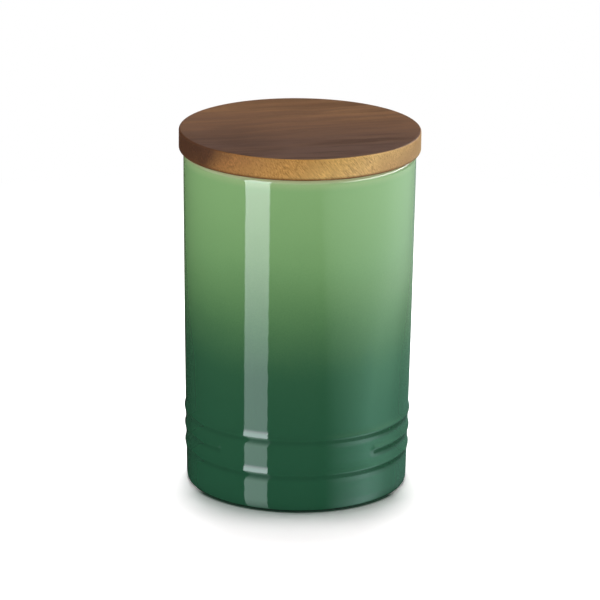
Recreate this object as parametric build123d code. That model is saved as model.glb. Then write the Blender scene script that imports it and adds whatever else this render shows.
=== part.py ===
"""Storage jar: a glazed stoneware pot with raised rings, and a wooden lid with a plug and a lipped silicone seal.

Frame: +Z up, with the origin on the pot's axis at the surface that it stands on. The front faces -Y.
Lengths are in millimetres and angles in degrees.
"""

from build123d import *
from math import sqrt
import os

# Pot, outside
jar_height = 148.0
rim_radius = 50.0
foot_radius = 48.05
wall_swell = 0.28  # how far the side bows out of a straight taper, halfway up
rim_outer_round = 2.4
foot_edge_round = 1.6
foot_land = 5.5  # width of the flat ring that the pot stands on
foot_recess = 1.6

# Pot, inside
mouth_wall = 5.35  # wall at the mouth
foot_wall = 4.8  # wall just above the floor
floor_thickness = 7.0
floor_round = 5.0
rim_inner_round = 1.3
mouth_run = 11.0  # straight bore left below the lid's plug

# Raised rings round the pot
ring_count = 3
ring_first = 16.3  # height of the lowest crest
ring_pitch = 7.8
ring_width = 7.0
ring_height = 0.75
ring_root = 1.0  # how far a ring's section reaches into the wall
stopped_ring = 1  # counted from the lowest, which is 0
front_gap = 87.0  # the angle at the front that the stopped ring leaves bare

# Lid board
lid_overhang = 2.0
lid_thickness = 9.5
lid_top_round = 0.9
lid_bottom_round = 1.5

# Plug under the lid board
plug_gap = 2.0  # between the plug and the mouth
plug_foot = 3.8  # wood below the seal
plug_round = 1.5
socket_depth = 1.5  # how far the plug is let into the board
glue_gap = 0.1

# Seal round the plug
seal_drop = 4.0  # from the lid board down to the seal
seal_height = 5.2
seal_band = 2.2
seal_proud = 0.3  # how far the band stands out of its groove
groove_clearance = 0.08
lip_count = 3
lip_root = 1.1
lip_tip = 0.5
lip_rise = 0.5  # the lips bend up as the lid goes in
mouth_clearance = 0.2  # between the lips and the mouth

# Worked out from the sizes above
mouth_radius = rim_radius - mouth_wall
floor_radius = foot_radius - foot_wall
lid_radius = rim_radius + lid_overhang
plug_radius = mouth_radius - plug_gap
plug_depth = seal_drop + seal_height + plug_foot
band_radius = plug_radius + seal_proud
bore_radius = band_radius - seal_band
seal_bottom = jar_height - seal_drop - seal_height
bead_radius = (ring_width**2 / 4 + ring_height**2) / (2 * ring_height)

STANDING = (Align.CENTER, Align.CENTER, Align.MIN)


def turned(outline, angle=360):
    """Turns a flat outline, with X as the radius and Y as the height, round the pot's axis."""
    return revolve(Plane.XZ * outline, Axis.Z, angle)


def rounded(solid, edge_radius, edge_height, size):
    """Rounds the circular edge that has that radius and height."""
    near = 1e-3
    circles = solid.edges().filter_by(GeomType.CIRCLE)
    edge = [
        circle
        for circle in circles
        if abs(circle.radius - edge_radius) < near and abs(circle.arc_center.Z - edge_height) < near
    ]
    return fillet(edge, size)


def wall_radius(height):
    """Outside radius of the pot's side at a height."""
    up = height / jar_height
    return foot_radius + (rim_radius - foot_radius) * up + 4 * wall_swell * up * (1 - up)


def make_blank():
    """The pot's outside, still solid: a side that bows a little, with a rounded foot and rim."""
    middle = jar_height / 2
    side = ThreePointArc((foot_radius, 0), (wall_radius(middle), middle), (rim_radius, jar_height))
    ends = Polyline((rim_radius, jar_height), (0, jar_height), (0, 0), (foot_radius, 0))
    blank = turned(make_face(side + ends))
    blank = rounded(blank, foot_radius, 0, foot_edge_round)
    return rounded(blank, rim_radius, jar_height, min(rim_outer_round, mouth_wall / 2))


def make_ring(height, bare_angle):
    """A raised ring round the pot: a low round bead, rooted in the wall, that leaves an angle bare at the front."""
    root = wall_radius(height) - ring_root
    crest = wall_radius(height) + ring_height
    half = sqrt(bead_radius**2 - (bead_radius - ring_height - ring_root) ** 2)
    low, high = height - half, height + half
    bead = ThreePointArc((root, low), (crest, height), (root, high))
    section = make_face(bead + Line((root, high), (root, low)))
    return Rot(0, 0, bare_angle / 2 - 90) * turned(section, 360 - bare_angle)


def make_cavity():
    """The room inside the pot: a straight mouth above a slight taper, down to a rounded floor."""
    mouth_bottom = jar_height - plug_depth - mouth_run
    outline = Polyline(
        (0, floor_thickness),
        (floor_radius, floor_thickness),
        (mouth_radius, mouth_bottom),
        (mouth_radius, jar_height),
        (0, jar_height),
        close=True,
    )
    return rounded(turned(make_face(outline)), floor_radius, floor_thickness, floor_round)


def make_jar_body():
    """The pot: one casting with its rings, opened from above and hollowed a little underneath."""
    pot = make_blank()
    for number in range(ring_count):
        bare_angle = front_gap if number == stopped_ring else 0
        pot += make_ring(ring_first + number * ring_pitch, bare_angle)
    pot -= make_cavity()
    pot = rounded(pot, mouth_radius, jar_height, min(rim_inner_round, mouth_wall / 4))
    recess_radius = foot_radius - foot_edge_round - foot_land
    recess = Cylinder(recess_radius, foot_recess, align=STANDING)
    return pot - rounded(recess, recess_radius, foot_recess, foot_recess / 2)


def make_lid_board():
    """The round top of the lid, which rests on the rim, with a shallow socket for the plug."""
    board = Pos(0, 0, jar_height) * Cylinder(lid_radius, lid_thickness, align=STANDING)
    board = rounded(board, lid_radius, jar_height + lid_thickness, lid_top_round)
    board = rounded(board, lid_radius, jar_height, lid_bottom_round)
    return board - Pos(0, 0, jar_height) * Cylinder(plug_radius + glue_gap, socket_depth, align=STANDING)


def make_lid_plug():
    """The smaller disc that is glued into the board, with a turned groove for the seal."""
    bottom = jar_height - plug_depth
    plug = Pos(0, 0, bottom) * Cylinder(plug_radius, plug_depth + socket_depth, align=STANDING)
    plug = rounded(plug, plug_radius, bottom, plug_round)
    groove_floor = bore_radius - groove_clearance
    groove_height = seal_height + 2 * groove_clearance
    groove = Cylinder(plug_radius + seal_band, groove_height, align=STANDING)
    groove -= Cylinder(groove_floor, groove_height, align=STANDING)
    return plug - Pos(0, 0, seal_bottom - groove_clearance) * groove


def make_seal_ring():
    """The silicone seal: a band that fills the groove, and lips that wipe the mouth."""
    reach = mouth_radius - mouth_clearance
    section = Polyline(
        (bore_radius, seal_bottom),
        (band_radius, seal_bottom),
        (band_radius, seal_bottom + seal_height),
        (bore_radius, seal_bottom + seal_height),
        close=True,
    )
    section = make_face(section)
    for number in range(lip_count):
        root = seal_bottom + seal_height * (number + 0.5) / lip_count
        tip = root + lip_rise
        section += make_face(
            Polyline(
                (bore_radius, root - lip_root / 2),
                (band_radius, root - lip_root / 2),
                (reach, tip - lip_tip / 2),
                (reach, tip + lip_tip / 2),
                (band_radius, root + lip_root / 2),
                (bore_radius, root + lip_root / 2),
                close=True,
            )
        )
    return turned(section)


pieces = {
    "jar_body": make_jar_body(),
    "lid_board": make_lid_board(),
    "lid_plug": make_lid_plug(),
    "seal_ring": make_seal_ring(),
}
os.makedirs("parts", exist_ok=True)
for name, solid in pieces.items():
    export_step(solid, f"parts/{name}.step")
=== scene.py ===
import math

import bpy
import numpy as np
from mathutils import Matrix, Vector


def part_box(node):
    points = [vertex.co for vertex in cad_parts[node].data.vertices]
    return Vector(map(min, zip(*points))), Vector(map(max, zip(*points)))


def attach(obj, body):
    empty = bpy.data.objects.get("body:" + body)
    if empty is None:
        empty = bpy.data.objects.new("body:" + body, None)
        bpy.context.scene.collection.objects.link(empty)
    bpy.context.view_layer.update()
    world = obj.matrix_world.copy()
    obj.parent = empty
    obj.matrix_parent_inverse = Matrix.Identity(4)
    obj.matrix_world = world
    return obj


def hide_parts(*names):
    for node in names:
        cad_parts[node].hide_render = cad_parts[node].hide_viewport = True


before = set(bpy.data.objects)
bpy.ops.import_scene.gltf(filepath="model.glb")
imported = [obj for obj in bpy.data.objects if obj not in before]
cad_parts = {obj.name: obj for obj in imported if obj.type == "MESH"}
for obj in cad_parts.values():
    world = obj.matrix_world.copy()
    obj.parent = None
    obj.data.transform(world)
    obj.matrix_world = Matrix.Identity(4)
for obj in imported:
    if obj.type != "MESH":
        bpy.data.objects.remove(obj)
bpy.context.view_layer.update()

# The pot: slip-cast stoneware with three low rings moulded round it above the foot. Two green glazes are
# sprayed over it so that they fade into each other, the inside is lined with a pale glaze, and the ring
# of clay that it stands on is wiped bare before the firing.
mm = 0.001
pot_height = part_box("jar_body")[1].z
rim_radius = 50.0 * mm
foot_radius = 48.05 * mm
wall_swell = 0.28 * mm  # how far the side bulges halfway up
foot_tuck = 0.25 * mm  # how far the side draws in at the foot
foot_tuck_height = 4.2 * mm
foot_round = 1.1 * mm
foot_lean = math.radians(4.5)  # how far the side leans in where it meets that round
foot_recess = 1.6 * mm
recess_radius = 40.95 * mm
recess_round = 0.8 * mm
land_edge_round = 0.4 * mm
rim_outer_round = 2.4 * mm
rim_inner_round = 1.25 * mm
mouth_radius = 44.65 * mm
mouth_depth = 24.0 * mm
floor_radius = 43.25 * mm
floor_height = 7.0 * mm
floor_round = 5.0 * mm

ring_count = 3
ring_first = 16.9 * mm
ring_pitch = 7.93 * mm
ring_above = 5.35 * mm  # from a crest to the ring's upper foot
ring_below = 5.8 * mm
ring_height = 0.52 * mm
ring_hollowness = 4  # how hollow the curve is that rises to the crest
upper_bluntness = 0.09  # how far the crest is rounded, as a share of the ring's width above or below it
lower_bluntness = 0.27
crest_blend = (-0.6 * mm, 0.4 * mm)  # the lower bluntness gives way to the upper between these heights
stopped_ring = 1
front_gap = math.radians(87)
ring_end_length = 3.3 * mm

wall_waviness = 0.025 * mm
wall_waves = [(2, 40, 0), (3, -90, 1), (5, 60, 2)]  # lobes round the pot, phase for each metre up, phase
outline_tolerance = 0.01 * mm

pot_columns = 480
foot_rows = 14
ring_rows = 112
wall_rows = 36


def arc(radius_at, height_at, size, start, end, steps):
    """Points of radius and height along an arc, with its angles in degrees from straight out."""
    angles = np.radians(np.linspace(start, end, steps))
    return [(radius_at + size * math.cos(a), height_at + size * math.sin(a)) for a in angles]


def line(start, end, steps):
    """Points of radius and height along a straight stretch, without its ends."""
    shares = np.linspace(0, 1, steps + 1)[1:-1]
    return [tuple(np.add(np.multiply(start, 1 - s), np.multiply(end, s))) for s in shares]


def placed(name, data):
    """An object in the scene that shows a mesh, a lamp or a camera."""
    thing = bpy.data.objects.new(name, data)
    bpy.context.scene.collection.objects.link(thing)
    return thing


def turned(name, outline, columns, relief=None):
    """A mesh turned round the jar's axis. The outline runs anticlockwise round its section.

    It starts and ends on the axis, or else it closes on itself. relief gives how far each point stands
    out of its outline, from the arrays of radius, height and angle.
    """
    on_axis = outline[0][0] == 0
    rows = outline[1:-1] if on_axis else outline
    angles = np.linspace(0, 2 * math.pi, columns, endpoint=False)
    radius, angle = np.meshgrid([r for r, z in rows], angles, indexing="ij")
    height, angle = np.meshgrid([z for r, z in rows], angles, indexing="ij")
    if relief:
        radius = radius + relief(radius, height, angle)
    points = np.stack([radius * np.cos(angle), radius * np.sin(angle), height], axis=-1).reshape(-1, 3)

    index = np.arange(len(rows) * columns).reshape(len(rows), columns)
    after = np.roll(index, -1, axis=1)
    low, high = index, np.roll(index, -1, axis=0)
    low_after, high_after = after, np.roll(after, -1, axis=0)
    quads = np.stack([low, low_after, high_after, high], axis=-1)
    quads = quads[:-1] if on_axis else quads
    faces = [tuple(quad) for quad in quads.reshape(-1, 4).tolist()]
    vertices = points.tolist()
    if on_axis:
        start, end = len(vertices), len(vertices) + 1
        vertices += [(0, 0, outline[0][1]), (0, 0, outline[-1][1])]
        faces += [(start, b, a) for a, b in zip(index[0].tolist(), after[0].tolist())]
        faces += [(end, a, b) for a, b in zip(index[-1].tolist(), after[-1].tolist())]

    mesh = bpy.data.meshes.new(name)
    mesh.from_pydata(vertices, [], faces)
    mesh.shade_smooth()
    return placed(name, mesh)


def wall_radius(height):
    """Outside radius of the pot's side, without its rings."""
    up = height / pot_height
    tuck = foot_tuck * np.maximum(1 - height / foot_tuck_height, 0) ** 2
    return foot_radius + (rim_radius - foot_radius) * up + 4 * wall_swell * up * (1 - up) - tuck


def ring_relief(height, angle):
    """How far the rings stand out of the side: each rises from it in a hollow curve to a blunt crest.

    The stopped ring ends each side of the front in a round nose.
    """
    from_front = np.abs((angle + math.pi / 2 + math.pi) % (2 * math.pi) - math.pi)
    total = np.zeros_like(height)
    for number in range(ring_count):
        above = height - ring_first - number * ring_pitch
        across = np.where(above > 0, above / ring_above, above / ring_below)
        along = 0
        if number == stopped_ring:
            along = np.maximum(front_gap / 2 - from_front, 0) * foot_radius / ring_end_length
        from_crest = np.minimum(np.hypot(across, along), 1)
        bluntness = np.interp(above, crest_blend, [lower_bluntness, upper_bluntness])
        blunted = np.hypot(from_crest, bluntness) - bluntness
        widest = np.hypot(1, bluntness) - bluntness
        total += ring_height * (1 - blunted / widest) ** ring_hollowness
    return total


def pot_relief(radius, height, angle):
    """The rings, and the slight unevenness of a cast and fired wall, on the outside of the pot only."""
    outside = radius > wall_radius(height) - outline_tolerance
    waves = [np.sin(lobes * angle + rise * height + phase) for lobes, rise, phase in wall_waves]
    above_foot = np.clip((height - foot_round) / foot_tuck_height, 0, 1)
    below_rim = np.clip((pot_height - height) / rim_outer_round - 1, 0, 1)
    uneven = wall_waviness * sum(waves) / len(waves) * above_foot * below_rim
    return outside * (ring_relief(height, angle) + uneven)


foot_start = foot_round * (1 - math.sin(foot_lean))
foot_centre = wall_radius(foot_start) - foot_round * math.cos(foot_lean)
rings_low = ring_first - ring_below
rings_high = ring_first + (ring_count - 1) * ring_pitch + ring_above
side_heights = np.concatenate(
    [
        np.linspace(foot_start, rings_low, foot_rows)[1:],
        np.linspace(rings_low, rings_high, ring_rows)[1:],
        np.linspace(rings_high, pot_height - rim_outer_round, wall_rows)[1:-1],
    ]
)
mouth_end = (mouth_radius, pot_height - mouth_depth)
pot_outline = [(0, foot_recess)]
pot_outline += line((0, foot_recess), (recess_radius - recess_round, foot_recess), 6)
pot_outline += arc(recess_radius - recess_round, foot_recess - recess_round, recess_round, 90, 0, 6)
pot_outline += arc(recess_radius + land_edge_round, land_edge_round, land_edge_round, 180, 270, 5)
pot_outline += line((recess_radius, 0), (foot_centre, 0), 4)
pot_outline += arc(foot_centre, foot_round, foot_round, -90, -math.degrees(foot_lean), 9)
pot_outline += [(wall_radius(height), height) for height in side_heights]
pot_outline += arc(rim_radius - rim_outer_round, pot_height - rim_outer_round, rim_outer_round, 0, 90, 12)
pot_outline += arc(mouth_radius + rim_inner_round, pot_height - rim_inner_round, rim_inner_round, 90, 180, 8)
pot_outline += line((mouth_radius, pot_height - rim_inner_round), mouth_end, 4)
pot_outline += [mouth_end]
pot_outline += line(mouth_end, (floor_radius, floor_height + floor_round), 12)
pot_outline += arc(floor_radius - floor_round, floor_height + floor_round, floor_round, 0, -90, 10)
pot_outline += line((floor_radius - floor_round, floor_height), (0, floor_height), 6)
pot_outline += [(0, floor_height)]

pot = turned("pot", pot_outline, pot_columns, pot_relief)
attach(pot, "jar")
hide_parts("jar_body")


def screen_colour(red, green, blue):
    """A colour as a screen shows it, from 0 to 255, as the linear colour that a shader takes."""
    shares = [value / 255 for value in (red, green, blue)]
    return tuple(s / 12.92 if s <= 0.04045 else ((s + 0.055) / 1.055) ** 2.4 for s in shares) + (1,)


def add(tree, kind, inputs=None, **settings):
    """Adds a shader node with its settings, and sets its inputs to values or links them to outputs."""
    node = tree.nodes.new("ShaderNode" + kind)
    for name, value in settings.items():
        setattr(node, name, value)
    for name, value in (inputs or {}).items():
        if isinstance(value, bpy.types.NodeSocket):
            tree.links.new(value, node.inputs[name])
        else:
            node.inputs[name].default_value = value
    return node


def math_node(tree, operation, first, second=0.0):
    """The result of a sum on two values or outputs."""
    return add(tree, "Math", {0: first, 1: second}, operation=operation).outputs[0]


def between(tree, value, low, high):
    """A smooth mask that goes from 0 to 1 as the value goes from low to high."""
    inputs = {"Value": value, "From Min": low, "From Max": high}
    return add(tree, "MapRange", inputs, interpolation_type="SMOOTHSTEP").outputs["Result"]


def mixed(tree, share, first, second):
    """Two colours mixed by a share."""
    node = add(tree, "Mix", data_type="RGBA")
    for name, value in (("Factor_Float", share), ("A_Color", first), ("B_Color", second)):
        socket = next(s for s in node.inputs if s.identifier == name)
        if isinstance(value, bpy.types.NodeSocket):
            tree.links.new(value, socket)
        else:
            socket.default_value = value
    return next(s for s in node.outputs if s.identifier == "Result_Color")


def noise(tree, where, fineness, detail):
    """An even noise, with a fineness in waves for each metre."""
    return add(tree, "TexNoise", {"Vector": where, "Scale": fineness, "Detail": detail}).outputs["Fac"]


def distance_from_axis(tree, xyz):
    """How far a point lies from the jar's axis."""
    flat = add(tree, "CombineXYZ", {"X": xyz["X"], "Y": xyz["Y"]}).outputs["Vector"]
    return add(tree, "VectorMath", {0: flat}, operation="LENGTH").outputs["Value"]


def empty_material(name):
    """A material with an empty tree."""
    material = bpy.data.materials.new(name)
    material.use_nodes = True
    material.node_tree.nodes.clear()
    return material, material.node_tree


def new_material(name):
    """A material with its shader and its output."""
    material, tree = empty_material(name)
    shader = add(tree, "BsdfPrincipled")
    add(tree, "OutputMaterial", {"Surface": shader.outputs["BSDF"]})
    return material, tree, shader


def ramp_of(tree, value, stops, interpolation="LINEAR"):
    """A colour ramp with the given stops."""
    node = add(tree, "ValToRGB", {"Fac": value})
    node.color_ramp.interpolation = interpolation
    while len(node.color_ramp.elements) < len(stops):
        node.color_ramp.elements.new(1.0)
    for element, (position, colour) in zip(node.color_ramp.elements, stops):
        element.position = position
        element.color = colour
    return node.outputs["Color"]


# Each pair of values below gives where a mask starts and where it is full.
glaze_fade = [
    (0.00, screen_colour(39, 86, 62)),
    (0.16, screen_colour(37, 81, 58)),
    (0.40, screen_colour(42, 84, 59)),
    (0.50, screen_colour(60, 100, 67)),
    (0.62, screen_colour(88, 128, 82)),
    (0.76, screen_colour(113, 154, 101)),
    (0.98, screen_colour(131, 170, 114)),
]
cloud_fineness = 28.0
cloud_shift = 8 * mm  # how far the clouds and the drops of the spray move the fade up and down
spray_fineness = 1500.0
spray_shift = 6 * mm
mean_shift = 7 * mm
thin_glaze_and_highlight_colour = screen_colour(206, 208, 164)  # over the rim: glaze that runs thin, and a painted highlight on the rim's rounding under the lid
thin_glaze_and_highlight_edge = (pot_height - 4.5 * mm, pot_height)
thin_glaze_and_highlight_steepness = 3.6
thinning_and_highlight = (pot_height - 5.5 * mm, pot_height - 2 * mm)
thinning_and_highlight_share = 0.14
painted_under_shade_colour = screen_colour(18, 42, 32)  # painted shade under the rings and on the foot's round
ring_shade_facing = (-0.03, -0.25)  # the upward part of the surface's direction
ring_shade_share = 0.2
foot_shade_facing = (-0.25, -0.6)
foot_shade_share = 0.7
outer_skin = (44 * mm, 46 * mm)  # distances from the axis
lining_colour = screen_colour(240, 235, 222)
lining_edge = (mouth_radius + 1.2 * mm, mouth_radius + 0.6 * mm)
bare_clay_colour = screen_colour(196, 180, 154)
bare_height = (0.1 * mm, 0.02 * mm)
bare_underside = (-0.95, -0.999)
glaze_roughness = 0.03
glaze_unevenness = 0.03
bare_clay_roughness = 0.75  # on top of the glaze's
glaze_ior = 1.5
peel_fineness = 220.0
peel_bump = {"Strength": 0.02, "Distance": 1 * mm}

glaze, tree, shader = new_material("glaze")
where = add(tree, "TexCoord").outputs["Object"]
xyz = add(tree, "SeparateXYZ", {"Vector": where}).outputs
height = xyz["Z"]
cloud = noise(tree, where, cloud_fineness, detail=3.0)
spray = noise(tree, where, spray_fineness, detail=1.0)
spray_depth = math_node(tree, "MULTIPLY", spray, spray_shift)
shift = math_node(tree, "ADD", math_node(tree, "MULTIPLY", cloud, cloud_shift), spray_depth)
faded_height = math_node(tree, "SUBTRACT", math_node(tree, "ADD", height, shift), mean_shift)
colour = ramp_of(tree, math_node(tree, "DIVIDE", faded_height, pot_height), glaze_fade, "B_SPLINE")
# Paler over the rim and just below it: thin glaze, and a painted highlight on the rim's rounding under the
# lid.
thin_and_highlight = math_node(tree, "POWER", between(tree, height, *thin_glaze_and_highlight_edge), thin_glaze_and_highlight_steepness)
thinned_and_highlight = math_node(tree, "MULTIPLY", between(tree, height, *thinning_and_highlight), thinning_and_highlight_share)
colour = mixed(tree, math_node(tree, "MAXIMUM", thin_and_highlight, thinned_and_highlight), colour, thin_glaze_and_highlight_colour)
from_axis = distance_from_axis(tree, xyz)
facing = add(tree, "SeparateXYZ", {"Vector": add(tree, "NewGeometry").outputs["Normal"]}).outputs["Z"]
# Painted shade where the outside faces down: under the rings and on the foot's round.
ring_shade = math_node(tree, "MULTIPLY", between(tree, facing, *ring_shade_facing), ring_shade_share)
foot_shade = math_node(tree, "MULTIPLY", between(tree, facing, *foot_shade_facing), foot_shade_share)
downward_shade = math_node(tree, "ADD", ring_shade, foot_shade)
downward_shade = math_node(tree, "MULTIPLY", downward_shade, between(tree, from_axis, *outer_skin))
colour = mixed(tree, downward_shade, colour, painted_under_shade_colour)
above_foot = between(tree, height, foot_recess, floor_height)
lined = math_node(tree, "MULTIPLY", between(tree, from_axis, *lining_edge), above_foot)
underside = between(tree, facing, *bare_underside)
bare = math_node(tree, "MULTIPLY", between(tree, height, *bare_height), underside)
colour = mixed(tree, lined, colour, lining_colour)
colour = mixed(tree, bare, colour, bare_clay_colour)
tree.links.new(colour, shader.inputs["Base Color"])
uneven_gloss = math_node(tree, "MULTIPLY", cloud, glaze_unevenness)
uneven_gloss = math_node(tree, "ADD", uneven_gloss, glaze_roughness)
roughness = math_node(tree, "ADD", uneven_gloss, math_node(tree, "MULTIPLY", bare, bare_clay_roughness))
tree.links.new(roughness, shader.inputs["Roughness"])
shader.inputs["IOR"].default_value = glaze_ior
bump = add(tree, "Bump", {"Height": noise(tree, where, peel_fineness, detail=2.0), **peel_bump})
tree.links.new(bump.outputs["Normal"], shader.inputs["Normal"])
pot.data.materials.append(glaze)

# The lid's board: a round of oiled hardwood that rests on the rim and overhangs it a little. The layers of
# growth stand on edge and run from side to side, its fibres dip towards the right, and the left end is dark,
# partly heartwood and partly painted shade. The top is darker than the edge, partly its wood and partly
# painted light and shade, and the top carries a painted sheen. The top arris carries a painted highlight and
# the edge's lower round a painted shade. A shallow socket underneath takes the plug.
board_low, board_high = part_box("lid_board")
board_radius = board_high.x
board_bottom = board_low.z
board_top = board_high.z
board_top_round = 0.9 * mm
board_bottom_round = 1.5 * mm
plug_low, plug_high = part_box("lid_plug")
glue_gap = 0.1 * mm  # round the plug in its socket
socket_radius = plug_high.x + glue_gap
socket_depth = 1.5 * mm
board_columns = 288

socket_ceiling = board_bottom + socket_depth
top_round_centre = (board_radius - board_top_round, board_top - board_top_round)
bottom_round_centre = (board_radius - board_bottom_round, board_bottom + board_bottom_round)
board_outline = [(0, socket_ceiling)]
board_outline += line((0, socket_ceiling), (socket_radius, socket_ceiling), 4)
board_outline += [(socket_radius, socket_ceiling), (socket_radius, board_bottom)]
board_outline += arc(*bottom_round_centre, board_bottom_round, -90, 0, 10)
board_outline += arc(*top_round_centre, board_top_round, 0, 90, 8)
board_outline += line((board_radius - board_top_round, board_top), (0, board_top), 10)
board_outline += [(0, board_top)]
board = turned("board", board_outline, board_columns)
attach(board, "lid")
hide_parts("lid_board")

noise_middle = 0.5
wander_fineness = 30.0
wander_reach = (0, 9 * mm, 9 * mm)  # how far the layers of growth wander
band_fineness = (7, 90, 25)  # for each metre along the growth, across its layers and up
streak_fineness = (26, 320, 150)
fleck_fineness = (330, 2100, 2100)  # the flecks and the vessels follow the dipped fibres
vessel_fineness = (380, 2000, 2000)
vessel_edge = (0.42, 0.18)

wood_figure = bpy.data.node_groups.new("wood_figure", "ShaderNodeTree")
wood_figure.interface.new_socket("Vector", in_out="INPUT", socket_type="NodeSocketVector")
for socket in ("Fibre Dip", "Pore Share"):
    wood_figure.interface.new_socket(socket, in_out="INPUT", socket_type="NodeSocketFloat")
for socket in ("Bands", "Streaks", "Flecks", "Pores"):
    wood_figure.interface.new_socket(socket, in_out="OUTPUT", socket_type="NodeSocketFloat")


def vector_node(tree, operation, first, second):
    """The result of a sum on two vectors."""
    return add(tree, "VectorMath", {0: first, 1: second}, operation=operation).outputs["Vector"]


def stretched_noise(tree, where, fineness, detail, roughness):
    """A noise with its own fineness along each axis."""
    inputs = {"Vector": vector_node(tree, "MULTIPLY", where, fineness), "Scale": 1.0}
    inputs.update({"Detail": detail, "Roughness": roughness})
    return add(tree, "TexNoise", inputs).outputs["Fac"]


tree = wood_figure
given = tree.nodes.new("NodeGroupInput").outputs
result = tree.nodes.new("NodeGroupOutput").inputs
clouds = add(tree, "TexNoise", {"Vector": given["Vector"], "Scale": wander_fineness, "Detail": 3.0})
wander = vector_node(tree, "SUBTRACT", clouds.outputs["Color"], (noise_middle, noise_middle, noise_middle))
wander = vector_node(tree, "MULTIPLY", wander, wander_reach)
grown = vector_node(tree, "ADD", given["Vector"], wander)
bands = stretched_noise(tree, grown, band_fineness, detail=3.0, roughness=0.55)
tree.links.new(bands, result["Bands"])
streaks = stretched_noise(tree, grown, streak_fineness, detail=5.0, roughness=0.62)
tree.links.new(streaks, result["Streaks"])
fibres = {"Vector": grown, "Angle": given["Fibre Dip"]}
dipped = add(tree, "VectorRotate", fibres, rotation_type="Y_AXIS").outputs["Vector"]
flecks = stretched_noise(tree, dipped, fleck_fineness, detail=3.0, roughness=0.6)
tree.links.new(flecks, result["Flecks"])
vessels = vector_node(tree, "MULTIPLY", dipped, vessel_fineness)
cells = add(tree, "TexVoronoi", {"Vector": vessels, "Scale": 1.0, "Randomness": 1.0}).outputs
open_vessel = between(tree, cells["Distance"], *vessel_edge)
pick = add(tree, "SeparateXYZ", {"Vector": cells["Color"]}).outputs["X"]
picked = math_node(tree, "LESS_THAN", pick, given["Pore Share"])
tree.links.new(math_node(tree, "MULTIPLY", open_vessel, picked), result["Pores"])


def figure(tree, vector, dip, pore_share):
    """Places the wood figure, with the growth running along X in the given coordinates."""
    group = tree.nodes.new("ShaderNodeGroup")
    group.node_tree = wood_figure
    tree.links.new(vector, group.inputs["Vector"])
    group.inputs["Fibre Dip"].default_value = dip
    group.inputs["Pore Share"].default_value = pore_share
    return group.outputs


# The top's colours run from front to back and the edge's from left to right, in shares of the board.
grain_turn = math.radians(-16)
fibre_dip = math.radians(-50)
board_pore_share = 0.32
# The top's colours carry a painted sheen as well as the wood's colour.
top_colours = [
    (0.16, screen_colour(89, 69, 60)),
    (0.37, screen_colour(94, 71, 58)),
    (0.57, screen_colour(107, 79, 61)),
    (0.77, screen_colour(122, 90, 65)),
    (0.97, screen_colour(102, 74, 53)),
]
top_banding = 0.9  # how far the bands of growth move these colours
top_streak = screen_colour(56, 40, 33)
top_streak_edge = (0.58, 0.36)
streaky_front = (5 * mm, -40 * mm)  # the streaks grow darker from the middle to the front
streak_depth_least = 0.38
streak_depth_gain = 0.4
# The edge's colours are lighter than the top's partly as painted light, and the dark left end is partly
# heartwood and partly painted shade.
edge_colours = [
    (0.06, screen_colour(70, 43, 27)),
    (0.12, screen_colour(78, 49, 29)),
    (0.22, screen_colour(140, 96, 52)),
    (0.45, screen_colour(170, 126, 67)),
    (0.62, screen_colour(188, 150, 88)),
    (0.77, screen_colour(194, 158, 103)),
    (0.96, screen_colour(162, 123, 81)),
]
edge_banding = 0.1
heartwood_and_shade_slant = 11.0  # how far the dark end leans, partly heartwood and partly painted shade, in shares of the board for each metre of height
top_radius = (board_radius, board_radius - 0.45 * mm)  # where the edge's colour gives way to the top's
top_height = (board_top - 0.9 * mm, board_top - 0.35 * mm)
arris_highlight_width = 0.35 * mm  # painted highlight: how far the edge's paler colour comes in over the arris, except at the right end
arris_highlight_part = (0.96, 0.72)
patch_fineness = 110.0
lively_patch = (0.36, 0.62)  # in patches the flecks show more
fleck_depth = 0.9
lively_gain = 1.1
plainer_end = (0.7, 0.85)  # and towards the right end less
plainer_loss = 0.5
mottle_depth = 0.2
# Painted shade on the edge's lower round, where little light comes up from the floor.
bottom_shade_colour = screen_colour(88, 54, 28)
bottom_shade_span = (board_bottom + 1.9 * mm, board_bottom + 0.4 * mm)
bottom_shade_share = 0.9
pore_colour = screen_colour(84, 52, 26)
board_pore_depth = 0.42
board_roughness = 0.44
streak_roughness = 0.16
board_specular = 0.2
streak_relief = 0.3
board_bump = {"Strength": 0.25, "Distance": 0.15 * mm}

board_wood, tree, shader = new_material("board_wood")
where = add(tree, "TexCoord").outputs["Object"]
grain = {"Vector": where, "Angle": grain_turn}
turned_grain = add(tree, "VectorRotate", grain, rotation_type="Z_AXIS").outputs["Vector"]
wood = figure(tree, turned_grain, fibre_dip, board_pore_share)
xyz = add(tree, "SeparateXYZ", {"Vector": where}).outputs
from_axis = distance_from_axis(tree, xyz)
across = math_node(tree, "ADD", math_node(tree, "DIVIDE", xyz["X"], 2 * board_radius), 0.5)
backward = math_node(tree, "ADD", math_node(tree, "DIVIDE", xyz["Y"], 2 * board_radius), 0.5)
banding = math_node(tree, "SUBTRACT", wood["Bands"], noise_middle)

banded = math_node(tree, "ADD", backward, math_node(tree, "MULTIPLY", banding, top_banding))
top_colour = ramp_of(tree, banded, top_colours)
streak_depth = math_node(tree, "MULTIPLY", between(tree, xyz["Y"], *streaky_front), streak_depth_gain)
streak_depth = math_node(tree, "ADD", streak_depth, streak_depth_least)
dark_streak = math_node(tree, "MULTIPLY", between(tree, wood["Streaks"], *top_streak_edge), streak_depth)
top_colour = mixed(tree, dark_streak, top_colour, top_streak)

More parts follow.
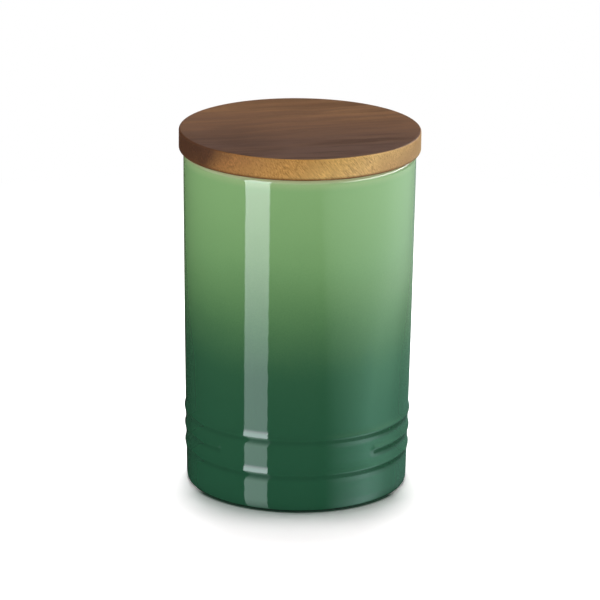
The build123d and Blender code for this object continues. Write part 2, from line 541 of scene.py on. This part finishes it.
below_middle = math_node(tree, "SUBTRACT", (board_bottom + board_top) / 2, xyz["Z"])
slanted = math_node(tree, "ADD", across, math_node(tree, "MULTIPLY", below_middle, heartwood_and_shade_slant))
slanted = math_node(tree, "ADD", slanted, math_node(tree, "MULTIPLY", banding, edge_banding))
edge_colour = ramp_of(tree, slanted, edge_colours)
patches = noise(tree, where, patch_fineness, detail=2.0)
lively = math_node(tree, "MULTIPLY", between(tree, patches, *lively_patch), lively_gain)
plainer = math_node(tree, "MULTIPLY", between(tree, across, *plainer_end), plainer_loss)
liveliness = math_node(tree, "SUBTRACT", math_node(tree, "ADD", lively, fleck_depth), plainer)
gleam = math_node(tree, "MULTIPLY", math_node(tree, "SUBTRACT", wood["Flecks"], noise_middle), liveliness)
mottle = math_node(tree, "MULTIPLY", math_node(tree, "SUBTRACT", patches, noise_middle), mottle_depth)
gleam = math_node(tree, "ADD", math_node(tree, "ADD", gleam, mottle), 1.0)
gleaming = add(tree, "VectorMath", {0: edge_colour, "Scale": gleam}, operation="SCALE").outputs["Vector"]
# The painted shade on the edge's lower round.
bottom_shade = math_node(tree, "MULTIPLY", between(tree, xyz["Z"], *bottom_shade_span), bottom_shade_share)
edge_colour = mixed(tree, bottom_shade, gleaming, bottom_shade_colour)

# A painted highlight along the top arris, in the edge's colour.
arris_highlight = math_node(tree, "MULTIPLY", between(tree, across, *arris_highlight_part), arris_highlight_width)
inside_arris = between(tree, math_node(tree, "ADD", from_axis, arris_highlight), *top_radius)
on_top = math_node(tree, "MULTIPLY", inside_arris, between(tree, xyz["Z"], *top_height))
colour = mixed(tree, on_top, edge_colour, top_colour)
colour = mixed(tree, math_node(tree, "MULTIPLY", wood["Pores"], board_pore_depth), colour, pore_colour)
tree.links.new(colour, shader.inputs["Base Color"])
roughness = math_node(tree, "MULTIPLY", wood["Streaks"], streak_roughness)
roughness = math_node(tree, "ADD", roughness, board_roughness)
tree.links.new(roughness, shader.inputs["Roughness"])
shader.inputs["Specular IOR Level"].default_value = board_specular
relief = math_node(tree, "MULTIPLY", wood["Streaks"], streak_relief)
relief = math_node(tree, "SUBTRACT", relief, wood["Pores"])
bump = add(tree, "Bump", {"Height": relief, **board_bump})
tree.links.new(bump.outputs["Normal"], shader.inputs["Normal"])
board.data.materials.append(board_wood)

# The plug: a smaller disc of the same wood, glued into the board's socket. It centres the lid in the mouth,
# and a groove turned round it holds the seal with a little clearance.
plug_radius = plug_high.x
plug_bottom = plug_low.z
plug_top = plug_high.z
plug_round = 1.5 * mm
seal_low, seal_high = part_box("seal_ring")
seal_thickness = 2.2 * mm  # without its lips
seal_proud = 0.3 * mm  # how far it stands out of the groove
groove_clearance = 0.08 * mm
groove_bottom = seal_low.z - groove_clearance
groove_top = seal_high.z + groove_clearance
groove_radius = plug_radius + seal_proud - seal_thickness - groove_clearance
groove_lip_round = 0.25 * mm
plug_columns = 288

lip_centre = plug_radius - groove_lip_round
plug_outline = [(0, plug_bottom)]
plug_outline += line((0, plug_bottom), (plug_radius - plug_round, plug_bottom), 8)
plug_outline += arc(plug_radius - plug_round, plug_bottom + plug_round, plug_round, -90, 0, 8)
plug_outline += arc(lip_centre, groove_bottom - groove_lip_round, groove_lip_round, 0, 90, 4)
plug_outline += [(groove_radius, groove_bottom), (groove_radius, groove_top)]
plug_outline += arc(lip_centre, groove_top + groove_lip_round, groove_lip_round, -90, 0, 4)
plug_outline += [(plug_radius, plug_top)]
plug_outline += line((plug_radius, plug_top), (0, plug_top), 4)
plug_outline += [(0, plug_top)]
plug = turned("plug", plug_outline, plug_columns)
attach(plug, "lid")
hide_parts("lid_plug")

plug_dark = screen_colour(142, 100, 60)
plug_light = screen_colour(190, 150, 100)
plug_fibre_dip = math.radians(12)
plug_pore_share = 0.35
plug_pore_depth = 0.5
plug_band_edge = (0.3, 0.7)
plug_streak_edge = (0.6, 0.35)
plug_streak_depth = 0.35
plug_roughness = 0.5
plug_specular = 0.3
plug_bump = {"Strength": 0.3, "Distance": 0.1 * mm}

plug_wood, tree, shader = new_material("plug_wood")
where = add(tree, "TexCoord").outputs["Object"]
wood = figure(tree, where, plug_fibre_dip, plug_pore_share)
colour = mixed(tree, between(tree, wood["Bands"], *plug_band_edge), plug_dark, plug_light)
dark_streak = between(tree, wood["Streaks"], *plug_streak_edge)
colour = mixed(tree, math_node(tree, "MULTIPLY", dark_streak, plug_streak_depth), colour, plug_dark)
colour = mixed(tree, math_node(tree, "MULTIPLY", wood["Pores"], plug_pore_depth), colour, pore_colour)
tree.links.new(colour, shader.inputs["Base Color"])
roughness = math_node(tree, "MULTIPLY", wood["Streaks"], streak_roughness)
roughness = math_node(tree, "ADD", roughness, plug_roughness)
tree.links.new(roughness, shader.inputs["Roughness"])
shader.inputs["Specular IOR Level"].default_value = plug_specular
bump = add(tree, "Bump", {"Height": wood["Pores"], **plug_bump}, invert=True)
tree.links.new(bump.outputs["Normal"], shader.inputs["Normal"])
plug.data.materials.append(plug_wood)

# The seal: a moulded band of milky silicone, stretched into the plug's groove, with three thin lips that
# bend upwards as they wipe the inside of the mouth.
seal_bottom = seal_low.z
seal_top = seal_high.z
lip_reach = seal_high.x
band_radius = plug_radius + seal_proud
bore_radius = band_radius - seal_thickness
lip_count = 3
lip_root = 1.1 * mm
lip_tip = 0.5 * mm
lip_rise = 0.5 * mm
seal_edge_round = 0.2 * mm
seal_columns = 288

edge_centre = band_radius - seal_edge_round
seal_outline = [(bore_radius, seal_bottom)]
seal_outline += arc(edge_centre, seal_bottom + seal_edge_round, seal_edge_round, -90, -15, 4)
for number in range(lip_count):
    root = seal_bottom + (seal_top - seal_bottom) * (number + 0.5) / lip_count
    seal_outline += [(band_radius, root - lip_root / 2)]
    seal_outline += arc(lip_reach - lip_tip / 2, root + lip_rise, lip_tip / 2, -80, 80, 7)
    seal_outline += [(band_radius, root + lip_root / 2)]
seal_outline += arc(edge_centre, seal_top - seal_edge_round, seal_edge_round, 15, 90, 4)
seal_outline += [(bore_radius, seal_top)]
seal_outline += line((bore_radius, seal_top), (bore_radius, seal_bottom), 3)
seal = turned("seal", seal_outline, seal_columns)
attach(seal, "seal")
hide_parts("seal_ring")

silicone_colour = screen_colour(226, 226, 220)
silicone_thin_colour = screen_colour(206, 208, 203)
clouding_fineness = 130.0
silicone_roughness = 0.35
clouding_roughness = 0.15
silicone_ior = 1.41
skin_fineness = 2500.0
skin_bump = {"Strength": 0.05, "Distance": 0.1 * mm}

silicone, tree, shader = new_material("silicone")
where = add(tree, "TexCoord").outputs["Object"]
clouding = noise(tree, where, clouding_fineness, detail=3.0)
tree.links.new(mixed(tree, clouding, silicone_thin_colour, silicone_colour), shader.inputs["Base Color"])
roughness = math_node(tree, "MULTIPLY", clouding, clouding_roughness)
roughness = math_node(tree, "ADD", roughness, silicone_roughness)
tree.links.new(roughness, shader.inputs["Roughness"])
shader.inputs["IOR"].default_value = silicone_ior
bump = add(tree, "Bump", {"Height": noise(tree, where, skin_fineness, detail=1.0), **skin_bump})
tree.links.new(bump.outputs["Normal"], shader.inputs["Normal"])
seal.data.materials.append(silicone)

# The studio's floor: a round of white card that the camera sees as pure white outside the jar's shadow. It
# carries a painted shadow in the corner in front of the foot, where hardly any light comes, tinted dark
# green as painted bounce light from the jar. It has a hole under the pot and can be seen through from below,
# so that views from there show the foot.
ground_radius = 4.0
ground_hole = 46.5 * mm
ground_drop = 0.3 * mm  # a shadow gap, as under a foot that rests on its high spots
ground_segments = 96
ground_colour = (0.9, 0.9, 0.9, 1)
seen_ground_colour = (1.70, 1.62, 1.66, 1)
white_distance = (0.3, 0.5)
# A painted shadow in front of the foot, tinted green as painted bounce light from the jar.
painted_shadow_colour = (0.015, 0.12, 0.065, 1)
painted_shadow_start = 57 * mm
painted_shadow_full = 47.8 * mm
painted_shadow_sides = (-0.36, -0.56)  # how far forward of the axis, as a share of the distance from it
wide_shade = 0.34
dark_shade = 0.62
dark_shade_steepness = 8.0

ground_points = []
for radius in (ground_hole, ground_radius):
    for angle in np.linspace(0, 2 * math.pi, ground_segments, endpoint=False):
        ground_points.append((radius * math.cos(angle), radius * math.sin(angle), -ground_drop))
ground_faces = []
for start in range(ground_segments):
    end = (start + 1) % ground_segments
    ground_faces.append((start, ground_segments + start, ground_segments + end, end))
floor_mesh = bpy.data.meshes.new("floor")
floor_mesh.from_pydata(ground_points, [], ground_faces)
floor = placed("floor", floor_mesh)
floor.visible_glossy = False

floor_paint, tree = empty_material("floor_paint")
path = add(tree, "LightPath").outputs
seen = math_node(tree, "MAXIMUM", path["Is Camera Ray"], path["Is Glossy Ray"])
seen = math_node(tree, "MAXIMUM", seen, path["Is Transmission Ray"])
colour = mixed(tree, seen, ground_colour, seen_ground_colour)
where = add(tree, "TexCoord").outputs["Object"]
from_axis = add(tree, "VectorMath", {0: where}, operation="LENGTH").outputs["Value"]
# The painted shadow: darkest close to the foot, and only in front of it.
reach = {"Value": from_axis, "From Min": painted_shadow_start, "From Max": painted_shadow_full}
near_foot = add(tree, "MapRange", reach).outputs["Result"]
dark = math_node(tree, "MULTIPLY", math_node(tree, "POWER", near_foot, dark_shade_steepness), dark_shade)
shade = math_node(tree, "ADD", math_node(tree, "MULTIPLY", near_foot, wide_shade), dark)
forward = math_node(tree, "DIVIDE", add(tree, "SeparateXYZ", {"Vector": where}).outputs["Y"], from_axis)
shade = math_node(tree, "MULTIPLY", shade, between(tree, forward, *painted_shadow_sides))
colour = mixed(tree, shade, colour, painted_shadow_colour)
paint = add(tree, "BsdfDiffuse", {"Color": colour}).outputs["BSDF"]
white = add(tree, "Emission", {"Color": (1, 1, 1, 1)}).outputs["Emission"]
far = math_node(tree, "MULTIPLY", between(tree, from_axis, *white_distance), path["Is Camera Ray"])
paint = add(tree, "MixShader", {0: far, 1: paint, 2: white}).outputs["Shader"]
through = add(tree, "BsdfTransparent").outputs["BSDF"]
from_below = add(tree, "NewGeometry").outputs["Backfacing"]
surface = add(tree, "MixShader", {0: from_below, 1: paint, 2: through}).outputs["Shader"]
add(tree, "OutputMaterial", {"Surface": surface})
floor_mesh.materials.append(floor_paint)
floor_paint.cycles.emission_sampling = "NONE"

# What the gloss shows: a tall strip light left of the camera, a pale green reflector far to the right with a
# clear panel close to the jar in front of it, and a ceiling. They are bent cards that only the gloss sees,
# and the rest of the room is dark.
card_distance = 1.3
panel_distance = 0.12
ceiling_distance = 1.4
strip_bend = [-19.5, -10]  # the strip light leans between these elevations
low_part = 0.27  # as far up the jar as the far reflector's own colours change
shown_part = [8.7 * mm, 139.5 * mm]  # the heights on the jar between which the reflection changes
ceiling_level = 1.2
softbox_level = 10


def card(name, distance, left, right, low, high, glow, pieces, clear=False):
    """A curved card round the jar that glows. Angles are in degrees, from the front and from the floor.

    left and right give the card's sides at an elevation, and glow gives its colour at an angle and an
    elevation. A clear card also shows what stands behind it.
    """
    across, up = pieces
    vertices, colours = [], []
    for elevation in np.linspace(low, high, up + 1):
        for turn in np.linspace(left(elevation), right(elevation), across + 1):
            angle = math.radians(turn)
            height = distance * math.tan(math.radians(elevation))
            vertices.append((distance * math.sin(angle), -distance * math.cos(angle), height))
            colours += [float(level) for level in glow(turn, elevation)] + [1.0]
    row = across + 1
    faces = [
        (i * row + j, i * row + j + 1, (i + 1) * row + j + 1, (i + 1) * row + j)
        for i in range(up)
        for j in range(across)
    ]
    mesh = bpy.data.meshes.new(name)
    mesh.from_pydata(vertices, [], faces)
    mesh.attributes.new("glow", "FLOAT_COLOR", "POINT").data.foreach_set("color", colours)
    sheet = placed(name, mesh)
    sheet.visible_shadow = False
    material, card_tree = empty_material(name)
    colour = add(card_tree, "Attribute", attribute_name="glow").outputs["Color"]
    light = add(card_tree, "Emission", {"Color": colour, "Strength": 1.0}).outputs["Emission"]
    if clear:
        through = add(card_tree, "BsdfTransparent").outputs["BSDF"]
        light = add(card_tree, "AddShader", {0: light, 1: through}).outputs["Shader"]
    add(card_tree, "OutputMaterial", {"Surface": light})
    mesh.materials.append(material)
    return sheet


def upright(turn):
    """A side of a card that stands straight up."""
    return lambda elevation: turn


def strip_left(elevation):
    """The strip light's left side."""
    return np.interp(elevation, strip_bend, [-55.0, -53.6])


def strip_right(elevation):
    """The strip light's right side."""
    return np.interp(elevation, strip_bend, [-30.0, -28.4])


def strip_glow(turn, elevation):
    """The strip light, brighter and whiter above the height of the jar, with a soft lower end."""
    stops = [-60, -42, -33, -24, -22.6, -17, -15.3, -13, -10, -8, 3]
    red = np.interp(elevation, stops, [0.2, 0.4, 1.0, 2.3, 2.5, 2.5, 2.9, 4.3, 5.9, 6.6, 7.8])
    green = np.interp(elevation, stops, [0.2, 0.4, 1.2, 2.8, 3.2, 2.9, 3.5, 4.3, 5.7, 7.0, 9.0])
    blue = np.interp(elevation, stops, [0.2, 0.5, 1.2, 2.7, 3.0, 3.0, 3.5, 4.9, 6.5, 7.3, 9.2])
    return red, green, blue


def shown_at(turn, distance):
    """The angle on the jar's side whose gloss shows the camera a card at a turn and a distance."""
    angles = np.linspace(0, 90, 91)
    turns = 2 * angles - np.degrees(np.arcsin(rim_radius * np.sin(np.radians(angles)) / distance))
    return np.interp(turn, turns, angles)


def reflected(angle, up):
    """What the jar's right side shows, from its foot, 0, to its rim, 1.

    It is a pale green that fades in towards the right and out again.
    """
    start = np.interp(up, [0, 1], [15.8, 11.5])
    full = np.interp(up, [0, 0.27, 1], [37, 39.7, 50.9])
    slowness = np.interp(up, [0.25, 0.72, 1], [1, 0.6, 0.42])
    rise = np.interp(angle, [start, full], [0, 1]) ** slowness
    fall_start = np.interp(up, [0, 0.25, 0.42, 0.58, 0.72, 1], [40, 41, 44.5, 47.5, 53, 56])
    fall_width = np.interp(up, [0, 0.25], [0.6, 1])
    fallen = (angle - fall_start) / fall_width
    fall = np.interp(fallen, [0, 8.6, 17.6, 23.7, 37.7], [1, 0.75, 0.4, 0.26, 0.14])
    level = rise * fall * np.interp(up, [0, 0.25, 0.58, 0.72, 1], [2.35, 1.86, 2.3, 2.42, 2.3])
    red = np.interp(up, [0, 0.2, 0.42, 0.58, 0.72, 1], [0.66, 0.46, 0.5, 0.64, 0.74, 0.76])
    blue = np.interp(up, [0, 0.2, 0.5, 0.84], [0.95, 0.8, 0.68, 0.83])
    return np.array([level * red, level, level * blue])


def side_glow(turn, elevation):
    """The far reflector, as the lower part of the jar and the rings show it."""
    angle = shown_at(turn, card_distance)
    low_end = np.interp(angle, [20, 30, 45, 60, 70, 80], [-34.3, -32.8, -29.6, -25.6, -22.7, -19.8])
    lit = np.interp(elevation - low_end, [-3, 2], [0.2, 1])
    return lit * reflected(angle, np.interp(elevation, [-22, -18.7], [0, low_part]))


def panel_glow(turn, elevation):
    """The clear panel beside the jar, which adds what the upper part of the jar shows."""
    height = panel_distance * math.tan(math.radians(elevation))
    angle = shown_at(turn, panel_distance)
    shown_height = height + np.interp(angle, [0, 80], [28 * mm, 36 * mm])
    up = np.interp(shown_height, shown_part, [0, 1])
    return np.maximum(reflected(angle, up) - reflected(angle, low_part), 0)


def ceiling_glow(turn, elevation):
    """The pale ceiling, with a softbox on the right."""
    softbox = np.interp(turn, [40, 65, 125, 150], [0, softbox_level, softbox_level, 0])
    level = ceiling_level + softbox * np.interp(elevation, [30, 36], [1, 0])
    return level, level, level


# Each card's name, distance, sides, lowest and highest elevation, glow, and pieces across and up.
glossy_cards = [
    card("strip_light", card_distance, strip_left, strip_right, -60, 50, strip_glow, (4, 220)),
    card("side_reflector", card_distance, upright(19), upright(175), -62, 14, side_glow, (62, 152)),
    card("side_panel", panel_distance, upright(17), upright(142), 0, 47, panel_glow, (50, 47), clear=True),
    card("ceiling", ceiling_distance, upright(-110), upright(150), 16, 60, ceiling_glow, (26, 22)),
]
for sheet in glossy_cards:
    sheet.visible_camera = False
    sheet.visible_diffuse = False
    sheet.active_material.cycles.emission_sampling = "NONE"

# The light on the jar: low fill cards all round it, a lamp above it, softboxes behind it and at its sides,
# and a lamp below that only the foot sees. The gloss shows none of them. The backdrop is a white drum that
# only the camera sees, and the room behind it is almost black.
fill_distance = 1.5
fill_low = 0.5
fill_high = 14
room_colour = (0.015, 0.015, 0.015, 1)


def plain(level):
    """An even white glow."""
    return lambda turn, elevation: (level, level, level)


# Each fill card's name, left and right side, level and number of pieces.
fills = [
    ("front_fill", -32, 32, 6.4, 6),
    ("left_fill", -118, -60, 4.7, 6),
    ("right_fill", 60, 118, 4.7, 6),
    ("back_fill", 120, 240, 1.3, 8),
]
for name, left, right, level, pieces in fills:
    sides = (upright(left), upright(right))
    sheet = card(name, fill_distance, *sides, fill_low, fill_high, plain(level), (pieces, 1))
    sheet.visible_camera = False
    sheet.visible_glossy = False

backdrop = card("backdrop", ground_radius, upright(0), upright(360), 0, 60, plain(1.0), (72, 1))
backdrop.visible_diffuse = False
backdrop.visible_glossy = False
backdrop.active_material.cycles.emission_sampling = "NONE"

# Each lamp's name, place, width, depth and power in watts.
lamps = [
    ("overhead", (0.0, 0.05, 1.6), 0.3, 0.15, 5.4),
    ("back_softbox", (0.0, 0.6, 1.6), 0.6, 0.8, 18.1),
    ("left_softbox", (-0.75, 0.175, 1.6), 0.5, 0.55, 2.25),
    ("right_softbox", (0.75, 0.175, 1.6), 0.5, 0.55, 2.25),
    ("lamp_below", (0.0, 0.0, -1.2), 1.0, 1.0, 8.0),
]
for name, spot, width, depth, power in lamps:
    lamp = placed(name, bpy.data.lights.new(name, "AREA"))
    lamp.data.shape = "RECTANGLE"
    lamp.data.size = width
    lamp.data.size_y = depth
    lamp.data.energy = power
    lamp.location = spot
    lamp.rotation_euler.x = math.pi if spot[2] < 0 else 0
    lamp.visible_camera = False
    lamp.visible_glossy = False

world = bpy.data.worlds.new("studio")
bpy.context.scene.world = world
world.use_nodes = True
tree = world.node_tree
tree.nodes.clear()
background = add(tree, "Background", {"Color": room_colour, "Strength": 1.0})
add(tree, "OutputWorld", {"Surface": background.outputs["Background"]})

# The camera: a long lens that looks down on the jar from the front, held a fraction of a degree off level.
# Its focal length is given in pixels of a picture of the stated width, and everything is in focus.
image_width = 600
focal_pixels = 3854
sensor_width = 36.0
pitch = math.radians(17.36)
roll = math.radians(0.66)
camera_distance = 1.674
target = Vector((0.00079, 0, 0.08023))
camera = placed("camera", bpy.data.cameras.new("camera"))
camera.data.sensor_width = sensor_width
camera.data.lens = focal_pixels / image_width * sensor_width
camera.data.clip_start = 0.05
camera.data.clip_end = 50
aim = Matrix.Rotation(math.pi / 2 - pitch, 4, "X") @ Matrix.Rotation(roll, 4, "Z")
camera.matrix_world = Matrix.Translation(target + aim @ Vector((0, 0, camera_distance))) @ aim
bpy.context.scene.camera = camera
bpy.context.scene.view_settings.view_transform = "Standard"
